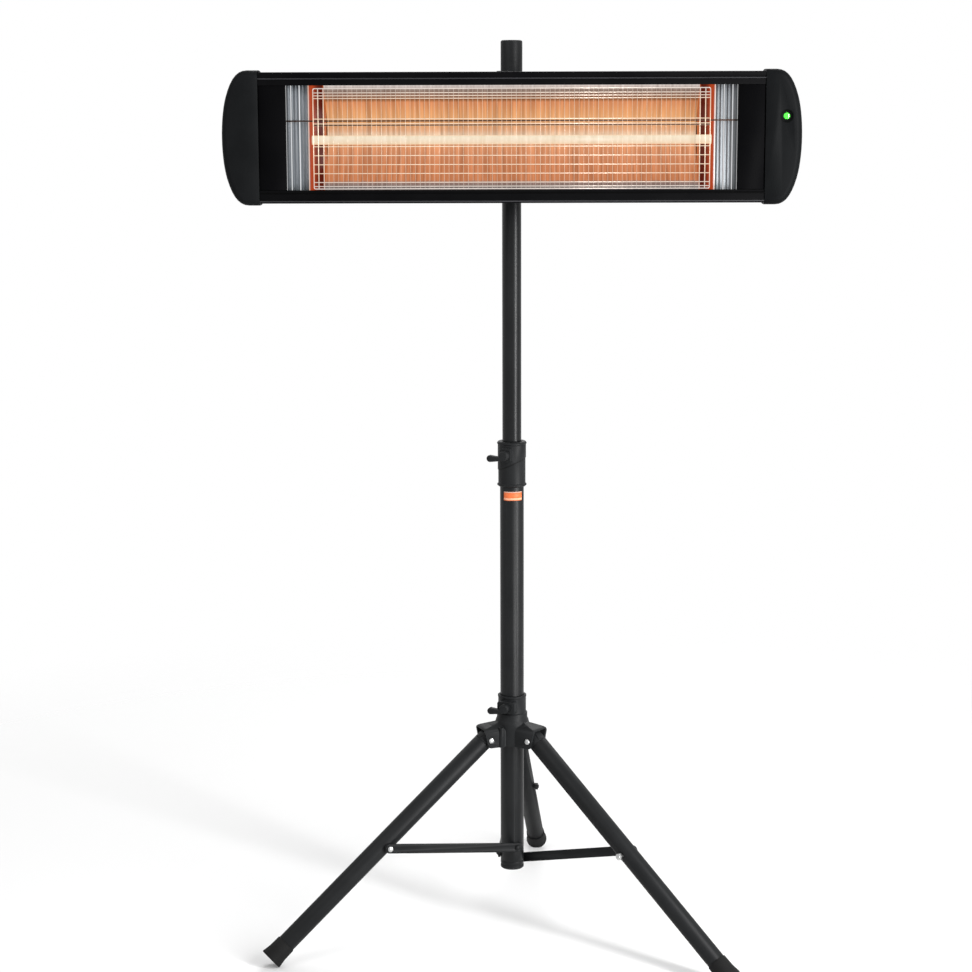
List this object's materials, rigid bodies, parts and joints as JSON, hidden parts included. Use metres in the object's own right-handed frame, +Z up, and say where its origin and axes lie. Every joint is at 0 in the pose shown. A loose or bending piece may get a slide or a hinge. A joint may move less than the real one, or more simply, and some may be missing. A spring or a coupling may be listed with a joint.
{
  "type": "infrared patio heater",
  "caption": "Free-standing infrared patio heater: a wide, shallow radiant head behind a wire guard, tilting on a telescoping mast over a folding tripod.",
  "frame": {"origin": "middle of the floor under the whole heater, at the bottom centre of its box", "axes": "+Z up along the mast, -Y towards whoever faces the heater, +X to the heater's right as seen from the front"},
  "size_m": [0.73, 0.5812, 1.2145],
  "materials": {
    "black_paint": "satin powder coat",
    "black_moulding": "satin moulded",
    "grey_moulding": "satin moulded, slightly paler",
    "foot_rubber": "matt",
    "zinc_steel": "bright zinc plate",
    "reflector": "mirror-bright rolled sheet",
    "quartz": "clear fused quartz",
    "carbon_element": "woven carbon strip, glowing",
    "ceramic": null,
    "indicator_green": "translucent moulded lens, lit",
    "orange_label": "printed film with its print left off",
    "circuit_board": "fibreglass board"
  },
  "bodies": {
    "hub": {"hub_casting": "black_moulding", "hinge_bolt_rear": "zinc_steel", "hinge_bolt_left": "zinc_steel", "hinge_bolt_right": "zinc_steel"},
    "column": {"column_tube": "black_paint", "column_plug": "black_moulding", "upper_collar": "black_moulding", "collar_bush": "grey_moulding", "column_label": "orange_label", "pivot_screw_rear": "black_paint", "pivot_screw_left": "black_paint", "pivot_screw_right": "black_paint"},
    "mast": {"upper_mast": "black_paint", "mast_shoe": "grey_moulding", "mast_cap": "black_moulding", "clamp_front": "black_moulding", "clamp_rear": "black_moulding", "clamp_bolt_left": "zinc_steel", "clamp_bolt_right": "zinc_steel"},
    "head": {"head_housing": "black_paint", "end_cap_left": "grey_moulding", "end_cap_right": "grey_moulding", "fascia_left": "black_paint", "fascia_right": "black_paint", "main_reflector": "reflector", "end_reflector_left": "reflector", "end_reflector_right": "reflector", "lamp_tube": "quartz", "lamp_element": "carbon_element", "lamp_cap_left": "ceramic", "lamp_cap_right": "ceramic", "lamp_holder_left": "zinc_steel", "lamp_holder_right": "zinc_steel", "wire_guard": "zinc_steel", "led_lens": "indicator_green", "control_board": "circuit_board", "cable_gland": "black_moulding", "tilt_bracket": "black_paint", "tilt_bolt": "zinc_steel"},
    "tilt_knob": {"tilt_knob": "black_moulding"},
    "upper_knob": {"upper_knob": "black_moulding"},
    "lower_knob": {"lower_knob": "black_moulding"},
    "leg_rear": {"leg_tube_rear": "black_paint", "leg_knuckle_rear": "black_moulding", "foot_rear": "foot_rubber", "brace_stud_rear": "zinc_steel"},
    "brace_rear": {"brace_bar_rear": "black_paint", "brace_screw_rear": "zinc_steel"},
    "leg_left": {"leg_tube_left": "black_paint", "leg_knuckle_left": "black_moulding", "foot_left": "foot_rubber", "brace_stud_left": "zinc_steel"},
    "brace_left": {"brace_bar_left": "black_paint", "brace_screw_left": "zinc_steel"},
    "leg_right": {"leg_tube_right": "black_paint", "leg_knuckle_right": "black_moulding", "foot_right": "foot_rubber", "brace_stud_right": "zinc_steel"},
    "brace_right": {"brace_bar_right": "black_paint", "brace_screw_right": "zinc_steel"}
  },
  "joints": [
    {"name": "column_slide", "type": "slide", "parent": "hub", "child": "column", "axis": [0, 0, -1], "range_m": [0, 0.2163]},
    {"name": "leg_rear_fold", "type": "hinge", "parent": "hub", "child": "leg_rear", "pos_m": [0.00408, -0.03147, 0.27933], "axis": [-0.9942, 0.1073, 0], "range_deg": [0, 46.5]},
    {"name": "brace_rear_swing", "type": "hinge", "parent": "column", "child": "brace_rear", "pos_m": [0, -0.06925, 0.11], "axis": [0.9942, -0.1073, 0], "range_deg": [0, 65.3]},
    {"name": "leg_left_fold", "type": "hinge", "parent": "hub", "child": "leg_left", "pos_m": [-0.03476, -0.08461, 0.27933], "axis": [0.4042, -0.9147, 0], "range_deg": [0, 46.5]},
    {"name": "brace_left_swing", "type": "hinge", "parent": "column", "child": "brace_left", "pos_m": [0, -0.06925, 0.1227], "axis": [-0.4042, 0.9147, 0], "range_deg": [0, 68.1]},
    {"name": "leg_right_fold", "type": "hinge", "parent": "hub", "child": "leg_right", "pos_m": [0.03068, -0.09167, 0.27933], "axis": [0.59, 0.8074, 0], "range_deg": [0, 46.5]},
    {"name": "brace_right_swing", "type": "hinge", "parent": "column", "child": "brace_right", "pos_m": [0, -0.06925, 0.098], "axis": [-0.59, -0.8074, 0], "range_deg": [0, 62.6]},
    {"name": "mast_slide", "type": "slide", "parent": "column", "child": "mast", "axis": [0, 0, 1], "range_m": [-0.06, 0.35]},
    {"name": "head_tilt", "type": "hinge", "parent": "mast", "child": "head", "pos_m": [0, -0.10125, 1.091], "axis": [1, 0, 0], "range_deg": [-15, 30]},
    {"name": "tilt_knob_turn", "type": "hinge", "parent": "head", "child": "tilt_knob", "pos_m": [0, -0.10125, 1.091], "axis": [-1, 0, 0], "range_deg": [0, 180]},
    {"name": "upper_knob_turn", "type": "hinge", "parent": "column", "child": "upper_knob", "pos_m": [0, -0.06925, 0.671], "axis": [-0.342, -0.9397, 0], "range_deg": [0, 180]},
    {"name": "lower_knob_turn", "type": "hinge", "parent": "hub", "child": "lower_knob", "pos_m": [0, -0.06925, 0.32353], "axis": [-0.342, -0.9397, 0], "range_deg": [0, 180]}
  ],
  "couplings": [
    {"joint": "leg_rear_fold", "follows": "column_slide", "rad_per_m": 3.7447},
    {"joint": "brace_rear_swing", "follows": "column_slide", "rad_per_m": 5.2592},
    {"joint": "leg_left_fold", "follows": "column_slide", "rad_per_m": 3.7447},
    {"joint": "brace_left_swing", "follows": "column_slide", "rad_per_m": 5.4868},
    {"joint": "leg_right_fold", "follows": "column_slide", "rad_per_m": 3.7447},
    {"joint": "brace_right_swing", "follows": "column_slide", "rad_per_m": 5.0426}
  ]
}
